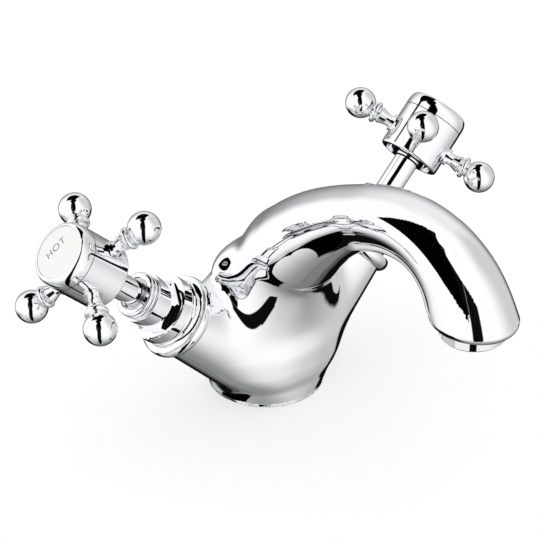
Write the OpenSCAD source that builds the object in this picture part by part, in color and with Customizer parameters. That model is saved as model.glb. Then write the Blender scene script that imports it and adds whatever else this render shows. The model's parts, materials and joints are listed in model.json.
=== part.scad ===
// Two-handle basin mixer: a one-piece cast body with an arched spout, two raised arms that carry
// quarter-turn ceramic disc valves, and crosshead handles with ball ends.
// The origin is the centre of the base on the deck. Z is up, the spout points to -Y,
// the hot handle is on the -X side and the cold handle on the +X side.

/* [Base] */
// Radius of the round foot on the deck
foot_r = 23; // [22.5:0.5:26]
// Height of the upright edge of the foot
foot_edge_h = 1.5; // [0.5:0.5:3]
// Middle radius of the groove for the deck seal
seal_mid_r = 19.8; // [19.4:0.1:20]
// Width of the deck seal
seal_w = 3.2; // [2.6:0.2:3.6]
// Thickness of the deck seal
seal_h = 1.6; // [1:0.2:2.4]
// Radius of the tapped hole for the fixing stud
stud_r = 3.4; // [2.5:0.1:4.2]
// Depth of the tapped hole for the fixing stud
stud_depth = 12; // [8:1:14]
// Distance of the fixing stud behind the centre of the base
stud_y = 9.5; // [8.5:0.5:11]
// Radius of the tapped holes for the two water tails
tail_r = 4.5; // [4:0.1:5]
// Depth of the tapped holes for the water tails
tail_depth = 12; // [10:1:14]
// Distance between the two water tails
tail_spacing = 18; // [15:0.5:20]

/* [Body arms] */
// Angle of each arm above the deck
arm_rise = 42; // [38:1:46]
// Angle by which each arm leans back
arm_sweep = 4.5; // [0:0.5:8]
// Distance in front of the base centre at which the arm axes meet
arm_front = 3.8; // [2:0.2:5]
// Height above the deck at which the arm axes meet
arm_base_z = 5.4; // [4:0.2:8]
// Length of an arm from the meeting point to its end face
arm_len = 56; // [54:1:62]
// Radius of an arm at its end
arm_end_r = 14; // [13:0.25:15]
// Radius of an arm at its root
arm_root_r = 16; // [15:0.25:16.25]
// Distance along the axis at which the arm casting starts
arm_start = 10; // [10:0.5:12]

/* [Body shoulders] */
// Height at which the foot has drawn in
ankle_z = 6.5; // [5:0.5:8]
// Half width of the body above the foot
ankle_w = 23.5; // [22.5:0.25:25]
// Half thickness of the body above the foot
ankle_d = 22; // [21.5:0.25:23]
// Height of the waist
waist_z = 16; // [13:0.5:19]
// Half width of the waist between foot and shoulders
waist_w = 27; // [25:0.5:28]
// Half thickness of the waist
waist_d = 20.5; // [19:0.5:21.5]
// How full the corners of the waist section are, 2 for an ellipse
waist_fullness = 2.6; // [2.2:0.1:2.8]
// Half width of the chest, midway between waist and shoulders
chest_w = 27.5; // [26:0.5:29]
// Half thickness of the chest
chest_d = 15; // [14:0.5:16.5]
// Height of the shoulders
shoulder_z = 46; // [44:0.5:47]
// Distance of the shoulders in front of the base centre
shoulder_y = 1.5; // [0.5:0.25:2.5]
// Half width of the body across its shoulders
shoulder_w = 33.5; // [31.5:0.5:34]
// Half thickness of the body across its shoulders
shoulder_d = 12.5; // [11.5:0.5:14]
// How full the corners of the shoulder section are, 2 for an ellipse
shoulder_fullness = 2.1; // [2:0.1:2.3]
// Height of the crown, where the shoulders close behind the spout
crown_z = 64; // [62:0.5:65]
// Distance of the crown behind the base centre
crown_y = 1; // [0:0.25:2]
// Half width of the crown
crown_w = 24; // [23:0.5:26]
// Half thickness of the crown
crown_d = 11.5; // [11:0.25:12.5]
// Radius that rounds the crown
crown_round = 10; // [8:0.25:10.5]

/* [Stem] */
// Height inside the waist at which the stem of the spout starts
stem_foot_z = 13; // [12:0.5:14]
// Half width of the stem where it starts
stem_foot_w = 21; // [19:0.5:22]
// Half depth of the stem where it starts
stem_foot_d = 17.5; // [16:0.5:18.5]
// Height at which the stem comes out of the chest
stem_z = 25; // [24:0.5:27]
// Distance of the stem in front of the base centre
stem_y = 5.6; // [5:0.2:6.2]
// Half width of the stem
stem_w = 23.5; // [22:0.5:25]
// Half depth of the stem
stem_d = 18.4; // [17.4:0.2:19.4]
// Angle by which the stem section leans
stem_tilt = 8; // [6:1:11]
// How full the corners of the stem sections are, 2 for an ellipse
stem_fullness = 2.2; // [2:0.1:2.4]
// Height of the throat, where the stem leans over into the spout
throat_z = 40; // [38.5:0.5:41.5]
// Distance of the throat in front of the base centre
throat_y = 8; // [7.2:0.2:8.8]
// Half width of the throat
throat_w = 24.5; // [22.5:0.5:25.5]
// Half depth of the throat
throat_d = 17.4; // [16.4:0.2:18.4]
// Angle by which the throat section leans
throat_tilt = 22; // [19:1:25]

/* [Spout] */
// Height at which the spout leaves the body
spout_root_z = 62.2; // [61:0.2:63.4]
// Distance of the spout root in front of the base centre
spout_root_y = 14.2; // [13.2:0.2:15.2]
// Half width of the spout at its root
spout_root_w = 21; // [19:0.5:22]
// Half depth of the spout at its root
spout_root_d = 18.4; // [17.4:0.2:19.4]
// Radius of the spout where it is slimmest
spout_slim_r = 12.3; // [11:0.1:13.5]
// Share of the way along the spout at which it is slimmest
spout_slim_at = 0.44; // [0.36:0.02:0.52]
// Share of the way along the spout at which it starts to widen again
spout_widen_at = 0.6; // [0.52:0.02:0.7]
// Share of the way along the spout at which its sections start to turn level
spout_level_at = 0.86; // [0.8:0.02:0.9]
// Angle of the spout above the horizontal where it leaves the body
spout_rise = 54; // [51:0.5:57]
// How far the rising stretch runs straight on
spout_rise_pull = 41.5; // [38:0.5:45]
// Angle of the spout below the horizontal where it comes down
spout_drop = 63; // [55:1:75]
// How far the falling stretch runs straight on
spout_drop_pull = 46.5; // [43:0.5:50]
// Distance of the outlet in front of the base centre
spout_reach = 116.8; // [105:1:130]
// Height of the outlet face above the deck
outlet_z = 81; // [76:1:90]
// Half width of the spout just above the outlet
outlet_w = 15.4; // [14.8:0.1:17]
// Half depth of the spout just above the outlet
outlet_d = 17; // [15:0.1:18]
// Radius that rounds the rim of the outlet
outlet_round = 3.5; // [1.5:0.25:4]
// Wall of the hollow spout
spout_wall = 3; // [2:0.25:4]
// Radius of the mixing chamber inside the body
chamber_r = 10; // [8:0.5:11]
// Height of the floor of the mixing chamber
chamber_z = 45; // [42:1:48]

/* [Waterways] */
// Radius of the drilled way from a water tail to a valve
inlet_way_r = 3.5; // [2.5:0.25:4]
// Radius of the drilled way from a valve to the mixing chamber
mix_way_r = 3.2; // [2.5:0.1:4]
// Height at which the two mixing ways meet
mix_meet_z = 55; // [53:1:58]
// Radius of the bored seat that takes a valve
pocket_r = 9.4; // [9:0.1:10]
// Depth of the bored seat from the end of the arm
pocket_depth = 20; // [19:0.5:22]
// Depth of the groove that collects water round the valve
collector_depth = 1.8; // [1:0.2:2.4]
// Length of the groove that collects water
collector_h = 5.2; // [4:0.2:6]

/* [Aerator] */
// Radius of the rim of the aerator
aerator_r = 11.8; // [11:0.1:12.4]
// Height of the aerator rim that shows below the spout
aerator_show = 4.5; // [3:0.25:6]
// Radius of the threaded part of the aerator
aerator_thread_r = 11.4; // [10.8:0.1:11.6]
// Length of the threaded part of the aerator
aerator_thread_h = 6; // [4:0.5:8]
// Chamfer round the rim of the aerator
aerator_chamfer = 0.6; // [0.3:0.1:1]
// Width and thickness of the lip that holds the insert
aerator_lip = 1; // [0.8:0.1:1.4]
// Wall of the aerator housing
aerator_wall = 1.2; // [0.8:0.1:1.6]
// Thickness of the aerator washer
aerator_washer_h = 1.6; // [1:0.2:2.4]
// Radius of the way between the aerator and the hollow spout
outlet_way_r = 7; // [5:0.5:8]
// Height of the way between the aerator and the hollow spout
outlet_way_h = 6.2; // [5:0.2:6.8]
// Radius of one flow hole in the aerator insert
flow_hole_r = 0.75; // [0.5:0.05:0.8]
// Distance between flow holes
flow_pitch = 2.2; // [2:0.1:2.6]
// Thickness of the aerator insert
insert_h = 3; // [2:0.25:5]

/* [Valve outside] */
// Radius of the large ring of the bell
bell_r = 16.5; // [15:0.25:18]
// Radius of the rolled edge of the large ring
bell_roll_r = 3.3; // [2.5:0.1:4]
// Height of the bell
bell_h = 9.4; // [8:0.2:11]
// Radius of the upper rim of the bell
bell_top_r = 12.8; // [11.5:0.1:13.5]
// Height of the upper rim of the bell
bell_rim_h = 2.2; // [1.5:0.1:3]
// Radius of the cove between ring and rim
bell_cove_r = 2.3; // [1.8:0.1:2.6]
// Distance across the flats of the valve hexagon
hex_af = 19; // [18:0.5:21]
// Height of the valve hexagon
hex_h = 7.4; // [6:0.2:9]
// Radius of the plain barrel above the hexagon
barrel_r = 9.8; // [9:0.1:10.4]
// Height of the plain barrel
barrel_h = 7; // [5:0.5:9]
// Radius over the two beads of the collar
collar_r = 8.9; // [8:0.1:9.5]
// Height of the beaded collar
collar_h = 4; // [3:0.2:5]
// Radius of the threaded shank in the body
shank_r = 9.3; // [8.8:0.1:9.3]

/* [Valve inside] */
// Radius of the spindle
spindle_r = 5; // [4.5:0.1:5.4]
// Radius of the ceramic discs
disc_r = 7.2; // [6.8:0.1:7.4]
// Thickness of the fixed ceramic disc
fixed_disc_h = 2; // [1.5:0.1:2.5]
// Thickness of the turning ceramic disc
turning_disc_h = 2.2; // [1.8:0.1:2.6]
// Angle of one window in a ceramic disc
window_angle = 76; // [60:2:84]
// Outer radius of the windows in the ceramic discs
window_r = 5.8; // [5:0.1:6.2]
// Inner radius of the windows in the ceramic discs
window_inner_r = 1.8; // [1.5:0.1:2.5]
// Height of the rubber seat seal
seat_seal_h = 2.5; // [2:0.1:3]
// Radius of the hole in the seat seal
seat_seal_hole_r = 5.2; // [4:0.1:5.8]
// Height of the drive fork at the foot of the spindle
fork_h = 5.2; // [4.4:0.2:6]
// Width of the drive key between fork and disc
key_w = 2.2; // [1.6:0.1:2.8]
// Height of the drive key
key_h = 0.9; // [0.6:0.1:1.1]
// Radius of the side windows in the valve shank
side_window_r = 2.2; // [1.6:0.1:2.4]
// Thickness of the valve washer
valve_washer_h = 1; // [0.8:0.1:1.5]
// Radius of the valve washer
valve_washer_r = 12.5; // [11:0.1:12.8]
// Section radius of the spindle seals
ring_seal_r = 0.8; // [0.6:0.05:0.9]
// Distance between the two spindle seals
ring_seal_gap = 4; // [3:0.5:5]
// Thickness of the retaining clip
clip_h = 0.8; // [0.6:0.1:1]
// Radius over the retaining clip
clip_r = 6.4; // [6:0.1:6.8]

/* [Crosshead handle] */
// Length of spindle that shows between valve and handle
stem_show = 17.2; // [12:0.2:20]
// Radius of the hub
hub_r = 12.7; // [12:0.1:14]
// Height of the hub up to the seam
hub_h = 18.6; // [17:0.2:21]
// Radius that rounds the lower edge of the hub
hub_round = 1; // [0.5:0.1:1.5]
// Wall of the hub skirt
skirt_wall = 1.8; // [1.4:0.1:2.2]
// Radius of the boss inside the hub skirt
boss_r = 6.8; // [6.2:0.1:7.4]
// Depth of the hollow under the hub
skirt_depth = 3.4; // [2:0.2:4]
// Height of the ball arms above the lower edge of the hub
arms_up = 9; // [8:0.2:10]
// Radius over the ball ends of the handle
crosshead_r = 34.5; // [32:0.5:37]
// Radius of a ball end
ball_r = 6.3; // [5.5:0.1:6.6]
// Radius of the slim neck of a ball arm
stalk_r = 2.4; // [2:0.1:2.8]
// Length of the slim neck outside the hub
stalk_len = 3; // [2.4:0.2:3.6]
// Radius of the collar where a ball arm meets the hub
root_ring_r = 3.5; // [3:0.1:4]
// Height of the collar where a ball arm meets the hub
root_ring_h = 1.6; // [1:0.1:2]
// Radius of the large bead beside the ball
bead_r = 4.5; // [4:0.1:5]
// Height of the large bead
bead_h = 2.2; // [1.8:0.1:2.4]
// Distance from the middle of the large bead to the ball
bead_to_ball = 0.9; // [0.6:0.1:1.1]
// Length of the spigot of a ball arm inside the hub
spigot_len = 2.6; // [2:0.2:3]
// Depth of the spot face in the hub under a ball arm
spot_depth = 0.6; // [0.3:0.1:0.8]
// Turn of the hot handle in its closed position
hot_turn = 60; // [0:0.5:90]
// Turn of the cold handle in its closed position
cold_turn = 34.5; // [0:0.5:90]

/* [Cap and index] */
// Height of the cap above the seam
cap_h = 5.8; // [5:0.1:7]
// Height of the upright edge of the cap
cap_edge_h = 1.6; // [1:0.1:2.4]
// Radius of the index disc
index_r = 10.3; // [9.5:0.1:10.8]
// Thickness of the index disc
index_h = 1.4; // [1:0.1:2]
// Height by which the index disc is domed
index_dome = 0.35; // [0.1:0.05:0.5]
// Width of the flat lip of the cap round the index disc
cap_lip = 0.5; // [0.3:0.1:0.8]
// Width of the seam between hub and cap
seam_w = 0.3; // [0.2:0.05:0.5]
// Radius of the plug under the cap
plug_r = 8; // [7:0.1:8.6]
// Length of the plug under the cap
plug_h = 3; // [2:0.2:3.6]
// Radius of the screw head
screw_head_r = 4.2; // [3.6:0.1:5]
// Height of the screw head
screw_head_h = 2.6; // [2:0.1:3.2]
// Radius of the screw shank
screw_r = 2; // [1.8:0.1:2.4]
// Length of the screw shank
screw_len = 11; // [9:0.5:14]
// Thickness of the hub web under the screw head
hub_web = 1; // [0.8:0.1:1.5]
// Radius over the splines of the spindle
spline_r = 4.2; // [3.8:0.1:4.4]
// Length of the splined end of the spindle
spline_len = 9; // [7:0.5:10]

/* [Fits] */
// Radial clearance of a turning fit
turn_fit = 0.05; // [0.03:0.01:0.08]
// Clearance of a fixed fit
fixed_fit = 0.1; // [0.05:0.01:0.15]
// Clearance between parts that pass without touching
free_gap = 0.3; // [0.2:0.05:0.4]

/* [Smoothness] */
// Points round a section of the cast body
body_sides = 42; // [36:2:48]
// Rings between two stations of the cast body
body_steps = 3; // [2:1:4]
// Facets of round parts
round_facets = 64; // [48:8:96]

/* [Hidden] */
$fn = round_facets;
eps = 0.01;
chrome = [0.82, 0.84, 0.87];
rubber = [0.12, 0.12, 0.13];
ceramic = [0.93, 0.92, 0.88];
alumina = [0.62, 0.58, 0.55];
steel = [0.66, 0.67, 0.69];
acetal = [0.93, 0.93, 0.94];

// Stations along one arm axis, measured from the point where the axes meet
pocket_floor = arm_len - pocket_depth;
seat_top = pocket_floor + seat_seal_h;
fixed_top = seat_top + fixed_disc_h;
turning_base = fixed_top + fixed_fit;
turning_top = turning_base + turning_disc_h;
fork_top = turning_top + fork_h;
chamber_top = fork_top + free_gap;
collector_base = turning_top + free_gap;
collector_mid = collector_base + collector_h / 2;
hex_base = arm_len + bell_h;
barrel_base = hex_base + hex_h;
collar_base = barrel_base + barrel_h;
valve_top = collar_base + collar_h;
hub_base = valve_top + stem_show;
seam_t = hub_base + hub_h;
cap_top = seam_t + seam_w + cap_h;
arms_t = hub_base + arms_up;
spline_top = hub_base + spline_len;
screw_seat = spline_top + hub_web;

// Valve bore and fits
spindle_bore_r = spindle_r + turn_fit;
disc_chamber_r = disc_r + free_gap;
groove_r = spindle_r - 2 * ring_seal_r + turn_fit;
seal_mid_t = barrel_base - free_gap;

// Crosshead arm, measured from the handle axis
ball_centre = crosshead_r - ball_r;
bead_t = ball_centre - ball_r - bead_to_ball;

// Body outline: each station is [y, z, tilt, half width, half depth, fullness]
tail_t = tail_spacing / 2 / (cos(arm_rise) * cos(arm_sweep));
tail_y = tail_t * cos(arm_rise) * sin(arm_sweep) - arm_front;
chest_z = (waist_z + shoulder_z) / 2;
chest_fullness = (waist_fullness + shoulder_fullness) / 2;
ankle_y = -arm_front * ankle_z / waist_z;
ankle_fullness = (2 + waist_fullness) / 2;
trunk = [
  [0, foot_edge_h, 0, foot_r, foot_r, 2],
  [ankle_y, ankle_z, 0, ankle_w, ankle_d, ankle_fullness],
  [-arm_front, waist_z, 0, waist_w, waist_d, waist_fullness],
  [-arm_front, chest_z, 0, chest_w, chest_d, chest_fullness],
  [-shoulder_y, shoulder_z, 0, shoulder_w, shoulder_d, shoulder_fullness],
  [crown_y, crown_z - crown_round, 0, crown_w, crown_d, 2],
];
stem = [
  [-arm_front, stem_foot_z, 0, stem_foot_w, stem_foot_d, (2 + stem_fullness) / 2],
  [-stem_y, stem_z, stem_tilt, stem_w, stem_d, stem_fullness],
  [-throat_y, throat_z, throat_tilt, throat_w, throat_d, stem_fullness],
];
spout_p0 = [-spout_root_y, spout_root_z];
spout_p3 = [-spout_reach, outlet_z + outlet_round];
spout_p1 = spout_p0 + spout_rise_pull * [-cos(spout_rise), sin(spout_rise)];
spout_p2 = spout_p3 + spout_drop_pull * [cos(spout_drop), sin(spout_drop)];

function bezier(u) = pow(1 - u, 3) * spout_p0 + 3 * pow(1 - u, 2) * u * spout_p1
  + 3 * (1 - u) * u * u * spout_p2 + pow(u, 3) * spout_p3;
function bezier_slope(u) = 3 * pow(1 - u, 2) * (spout_p1 - spout_p0)
  + 6 * (1 - u) * u * (spout_p2 - spout_p1) + 3 * u * u * (spout_p3 - spout_p2);
function ease(u) = u * u * (3 - 2 * u);

// Spout sections slim down from the root, then widen to the outlet and turn level with the deck
function share(u, from, to) = min(1, max(0, (u - from) / (to - from)));
function spout_station(u) = let (
    p = bezier(u),
    v = bezier_slope(u),
    slim = ease(share(u, 0, spout_slim_at)),
    wide = pow(share(u, spout_widen_at, 1), 2),
    level = ease(share(u, spout_level_at, 1)))
  [p[0], p[1],
   atan2(-v[0], v[1]) * (1 - level) + 180 * level,
   spout_root_w + (spout_slim_r - spout_root_w) * slim + (outlet_w - spout_slim_r) * wide,
   spout_root_d + (spout_slim_r - spout_root_d) * slim + (outlet_d - spout_slim_r) * wide,
   2];

// The cast skin: rings interpolated between the stations of the trunk, and of the stem with the spout
spout_spans = 10;
stem_and_spout = concat(stem, [for (k = [0 : spout_spans]) spout_station(k / spout_spans)]);
function curve_through(a, b, c, d, u) = 0.5 * (2 * b + (c - a) * u
  + (2 * a - 5 * b + 4 * c - d) * u * u + (3 * b - a - 3 * c + d) * u * u * u);
function between(list, s) = let (last = len(list) - 1, i = min(floor(s), last - 1))
  curve_through(list[max(i - 1, 0)], list[i], list[i + 1], list[min(i + 2, last)], s - i);
function sections(list) = [for (k = [0 : body_steps * (len(list) - 1)])
  between(list, k / body_steps)];
function full(v, fullness) = sign(v) * pow(abs(v), 2 / fullness);
function ring(st, sides) = [for (i = [0 : sides - 1]) let (
    a = 360 * i / sides,
    across = st[3] * full(cos(a), st[5]),
    depth = st[4] * full(sin(a), st[5]))
  [across, st[0] + depth * cos(st[2]), st[1] + depth * sin(st[2])]];

// A rounded end: rings that draw in from a section towards a height
rim_steps = 3;
function rounded_end(st, height, radius) = [for (k = [1 : rim_steps]) let (a = 90 * k / rim_steps)
  [st[0], height + sign(st[1] - height) * radius * (1 - sin(a)), st[2],
   st[3] - radius * (1 - cos(a)), st[4] - radius * (1 - cos(a)), st[5]]];
trunk_skin = concat([[0, 0, 0, foot_r, foot_r, 2]], sections(trunk),
  rounded_end(trunk[len(trunk) - 1], crown_z, crown_round));
spout_skin = concat(sections(stem_and_spout), rounded_end(spout_station(1), outlet_z, outlet_round));

// The hollow inside: the mixing chamber and the channel along the spout
channel_end = 0.93;
channel_spans = 6;
channel = sections(concat(
  [[-throat_y, chamber_z, throat_tilt, chamber_r, chamber_r, 2]],
  [for (k = [0 : channel_spans]) let (st = spout_station(channel_end * k / channel_spans))
    [st[0], st[1], st[2], min(st[3] - spout_wall, chamber_r), min(st[4] - spout_wall, chamber_r), 2]]));

module loft(list, sides) {
  last = len(list) - 1;
  points = [for (st = list) each ring(st, sides)];
  skin_faces = [for (j = [0 : last - 1]) for (i = [0 : sides - 1]) let (
      n = (i + 1) % sides, low = j * sides, high = low + sides)
    each [[low + i, high + i, high + n], [low + i, high + n, low + n]]];
  floor_face = [for (i = [0 : sides - 1]) i];
  roof_face = [for (i = [sides - 1 : -1 : 0]) last * sides + i];
  polyhedron(points, concat(skin_faces, [floor_face, roof_face]));
}

function side_turn(side) = side == "hot" ? 180 - arm_sweep : arm_sweep;
function arm_point(side, t) = [cos(arm_rise) * cos(side_turn(side)) * t,
  cos(arm_rise) * sin(side_turn(side)) * t - arm_front, sin(arm_rise) * t + arm_base_z];

// Draws its children in the frame of one arm: Z runs out along the arm axis
module on_arm(side) {
  translate([0, -arm_front, arm_base_z]) rotate([0, 90 - arm_rise, side_turn(side)]) children();
}

module rod(from, to, r) {
  v = to - from;
  translate(from) rotate([0, acos(v[2] / norm(v)), atan2(v[1], v[0])]) cylinder(r = r, h = norm(v));
}

module tube(inner_r, outer_r, base, height) {
  translate([0, 0, base]) difference() {
    cylinder(r = outer_r, h = height);
    translate([0, 0, -eps]) cylinder(r = inner_r, h = height + 2 * eps);
  }
}

outlet_bore_r = aerator_thread_r + fixed_fit;
outlet_bore_h = aerator_thread_h + aerator_washer_h;
module outlet_bore() {
  translate([0, -spout_reach, outlet_z]) {
    translate([0, 0, -eps]) cylinder(r = outlet_bore_r, h = outlet_bore_h + eps);
    cylinder(r = outlet_way_r, h = outlet_bore_h + outlet_way_h);
  }
}

module deck_holes() {
  translate([0, stud_y, -eps]) cylinder(r = stud_r, h = stud_depth + eps);
  for (side = [-1, 1]) translate([side * tail_spacing / 2, tail_y, -eps])
    cylinder(r = tail_r, h = tail_depth + eps);
  rotate_extrude() translate([seal_mid_r - seal_w / 2 - fixed_fit, -eps])
    square([seal_w + 2 * fixed_fit, seal_h + eps]);
}

module valve_seat() {
  translate([0, 0, pocket_floor]) cylinder(r = pocket_r, h = pocket_depth + eps);
  translate([0, 0, collector_base]) cylinder(r = pocket_r + collector_depth, h = collector_h);
  translate([0, 0, tail_t - inlet_way_r])
    cylinder(r = inlet_way_r, h = pocket_floor - tail_t + inlet_way_r + eps);
}

// Flat face that ends an arm, also cut into the shoulders round the bell
module bell_face() {
  translate([0, 0, arm_len]) cylinder(r = bell_r + free_gap, h = valve_top - arm_len);
}

module body() {
  color(chrome) difference() {
    union() {
      loft(trunk_skin, body_sides);
      loft(spout_skin, body_sides);
      for (side = ["hot", "cold"]) on_arm(side) translate([0, 0, arm_start])
        cylinder(r1 = arm_root_r, r2 = arm_end_r, h = arm_len - arm_start + eps);
    }
    loft(channel, body_sides / 2);
    outlet_bore();
    deck_holes();
    for (side = ["hot", "cold"]) {
      on_arm(side) {
        valve_seat();
        bell_face();
      }
      rod(arm_point(side, collector_mid), [0, -arm_front, mix_meet_z], mix_way_r);
    }
  }
}

module deck_seal() {
  color(rubber) tube(seal_mid_r - seal_w / 2, seal_mid_r + seal_w / 2, 0, seal_h);
}

// Aerator: a threaded housing, a washer above it and an insert with flow holes
insert_r = aerator_thread_r - aerator_wall;

module aerator_housing() {
  rim_base = outlet_z - aerator_show;
  color(chrome) translate([0, -spout_reach, rim_base]) rotate_extrude() polygon([
    [insert_r - aerator_lip, 0],
    [aerator_r - aerator_chamfer, 0],
    [aerator_r, aerator_chamfer],
    [aerator_r, aerator_show - seam_w],
    [aerator_thread_r, aerator_show - seam_w],
    [aerator_thread_r, aerator_show + aerator_thread_h],
    [insert_r, aerator_show + aerator_thread_h],
    [insert_r, aerator_lip],
    [insert_r - aerator_lip, aerator_lip]]);
}

module aerator_washer() {
  color(rubber) translate([0, -spout_reach, outlet_z + aerator_thread_h])
    tube(outlet_way_r, aerator_thread_r, 0, aerator_washer_h);
}

module aerator_insert() {
  reach = insert_r - aerator_lip - flow_hole_r;
  row_step = flow_pitch * sin(60);
  rows = floor(reach / row_step);
  color(acetal) translate([0, -spout_reach, outlet_z - aerator_show + aerator_lip]) difference() {
    cylinder(r = insert_r - fixed_fit, h = insert_h);
    for (row = [-rows : rows]) {
      shift = row % 2 == 0 ? 0 : flow_pitch / 2;
      places = floor(reach / flow_pitch) + 1;
      for (k = [-places : places]) let (x = k * flow_pitch + shift, y = row * row_step)
        if (norm([x, y]) < reach) translate([x, y, -eps])
          cylinder(r = flow_hole_r, h = insert_h + 2 * eps);
    }
  }
}

// Valve parts that stay still in the arm
module bell() {
  roll_t = arm_len + bell_roll_r;
  rim_t = hex_base - bell_rim_h / 2;
  color(chrome) rotate_extrude() difference() {
    union() {
      translate([bell_r - bell_roll_r, roll_t]) circle(bell_roll_r);
      translate([bell_top_r - bell_rim_h / 2, rim_t]) circle(bell_rim_h / 2);
      polygon([
        [shank_r + fixed_fit, arm_len],
        [bell_r - bell_roll_r, arm_len],
        [bell_r - bell_roll_r / 2, roll_t + bell_roll_r / 2],
        [bell_top_r - bell_rim_h / 2, rim_t],
        [bell_top_r - bell_rim_h / 2, hex_base],
        [shank_r + fixed_fit, hex_base]]);
    }
    translate([bell_top_r + bell_cove_r, rim_t - bell_rim_h / 2]) circle(bell_cove_r);
    translate([0, arm_len]) square([valve_washer_r + fixed_fit, valve_washer_h]);
  }
}

module valve_washer() {
  color(rubber) tube(shank_r + fixed_fit, valve_washer_r, arm_len, valve_washer_h);
}

module hexagon() {
  corner_r = hex_af / 2 / cos(30);
  slope = corner_r - hex_af / 2;
  intersection() {
    translate([0, 0, hex_base]) cylinder(r = corner_r, h = hex_h, $fn = 6);
    rotate_extrude() polygon([
      [0, hex_base],
      [hex_af / 2 + slope / 3, hex_base],
      [corner_r, hex_base + slope],
      [corner_r, barrel_base - slope],
      [hex_af / 2, barrel_base],
      [0, barrel_base]]);
  }
}

clip_base = valve_top - clip_h - free_gap;

module valve_body() {
  shank_base = pocket_floor + free_gap;
  bead = collar_h / 4;
  color(chrome) difference() {
    union() {
      hexagon();
      translate([0, 0, shank_base]) cylinder(r = shank_r, h = hex_base - shank_base + eps);
      translate([0, 0, barrel_base]) cylinder(r = barrel_r, h = barrel_h);
      translate([0, 0, collar_base]) cylinder(r = collar_r - bead, h = collar_h);
      for (k = [1, 3]) translate([0, 0, collar_base + k * bead])
        rotate_extrude() translate([collar_r - bead, 0]) circle(bead);
    }
    translate([0, 0, shank_base - eps]) cylinder(r = disc_chamber_r, h = chamber_top - shank_base + eps);
    translate([0, 0, shank_base]) cylinder(r = spindle_bore_r, h = valve_top - shank_base + eps);
    translate([0, 0, clip_base - free_gap]) cylinder(r = clip_r + free_gap, h = valve_top);
    translate([0, 0, collector_mid]) rotate([0, 90, 0])
      cylinder(r = side_window_r, h = 3 * shank_r, center = true);
  }
}

module seat_seal() {
  color(rubber) tube(seat_seal_hole_r, disc_chamber_r - fixed_fit, pocket_floor, seat_seal_h);
}

// One ceramic disc with its two opposite windows
module ceramic_disc(base, height) {
  translate([0, 0, base]) difference() {
    cylinder(r = disc_r, h = height);
    for (turn = [0, 180]) rotate([0, 0, turn - window_angle / 2]) translate([0, 0, -eps])
      rotate_extrude(angle = window_angle) translate([window_inner_r, 0])
        square([window_r - window_inner_r, height + 2 * eps]);
  }
}

module fixed_disc() {
  color(ceramic) rotate([0, 0, 90]) ceramic_disc(seat_top, fixed_disc_h);
}

// Valve and handle parts that turn with the handle
module turning_disc() {
  color(alumina) difference() {
    ceramic_disc(turning_base, turning_disc_h);
    translate([0, 0, turning_top]) cube(
      [key_w + 2 * fixed_fit, 3 * disc_r, 2 * (key_h + fixed_fit)], center = true);
  }
}

module spindle() {
  web = window_inner_r * 2;
  hole_base = screw_seat - screw_len - free_gap;
  color(chrome) difference() {
    union() {
      difference() {
        translate([0, 0, turning_top]) cylinder(r = disc_r, h = fork_h);
        for (side = [-1, 1]) translate([side * (web + disc_r) / 2, 0, turning_top])
          cube([disc_r, 3 * disc_r, 2 * (fork_h - key_h)], center = true);
      }
      translate([-key_w / 2, -window_r, turning_top - key_h]) cube([key_w, 2 * window_r, 2 * key_h]);
      translate([0, 0, fork_top - key_h]) cylinder(r = spindle_r, h = hub_base - fork_top + key_h);
      translate([0, 0, hub_base - eps]) cylinder(r = spline_r, h = spline_len + eps, $fn = 12);
    }
    translate([0, 0, hole_base]) cylinder(r = screw_r + fixed_fit, h = spline_top - hole_base + eps);
    for (side = [-1, 1]) translate([0, 0, seal_mid_t + side * ring_seal_gap / 2])
      rotate_extrude() translate([groove_r, -ring_seal_r - fixed_fit])
        square([ring_seal_r * 2, 2 * (ring_seal_r + fixed_fit)]);
    translate([0, 0, clip_base - fixed_fit]) rotate_extrude() translate([spindle_r - clip_h, 0])
      square([2 * clip_h, clip_h + 2 * fixed_fit]);
  }
}

module ring_seals() {
  color(rubber) for (side = [-1, 1]) translate([0, 0, seal_mid_t + side * ring_seal_gap / 2])
    rotate_extrude() translate([spindle_r - ring_seal_r, 0]) circle(ring_seal_r);
}

module clip() {
  color(steel) difference() {
    tube(spindle_r - clip_h + fixed_fit, clip_r, clip_base, clip_h);
    translate([clip_r, 0, clip_base])
      cube([2 * clip_r - spindle_r, spindle_r / 2, 3 * clip_h], center = true);
  }
}

module on_ball_arm(turn, k) {
  rotate([0, 0, turn + 90 * k]) translate([0, 0, arms_t]) rotate([0, 90, 0]) children();
}

module hub(turn) {
  recess_base = seam_t - plug_h - free_gap;
  color(chrome) difference() {
    rotate_extrude() difference() {
      union() {
        translate([0, hub_base]) square([hub_r - hub_round, hub_h]);
        translate([0, hub_base + hub_round]) square([hub_r, hub_h - hub_round]);
        translate([hub_r - hub_round, hub_base + hub_round]) circle(hub_round);
      }
      translate([boss_r, hub_base - eps]) square([hub_r - skirt_wall - boss_r, skirt_depth + eps]);
      translate([0, recess_base]) square([plug_r + fixed_fit, seam_t]);
      translate([0, screw_seat]) square([screw_head_r + free_gap, hub_h]);
      translate([0, hub_base]) square([screw_r + free_gap, hub_h]);
    }
    translate([0, 0, hub_base - eps])
      cylinder(r = spline_r + fixed_fit, h = spline_len + free_gap, $fn = 12);
    for (k = [0 : 3]) on_ball_arm(turn, k) {
      translate([0, 0, hub_r - spigot_len - fixed_fit]) cylinder(r = stalk_r + fixed_fit, h = hub_r);
      translate([0, 0, hub_r - spot_depth]) cylinder(r = root_ring_r + fixed_fit, h = hub_r);
    }
  }
}

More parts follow.
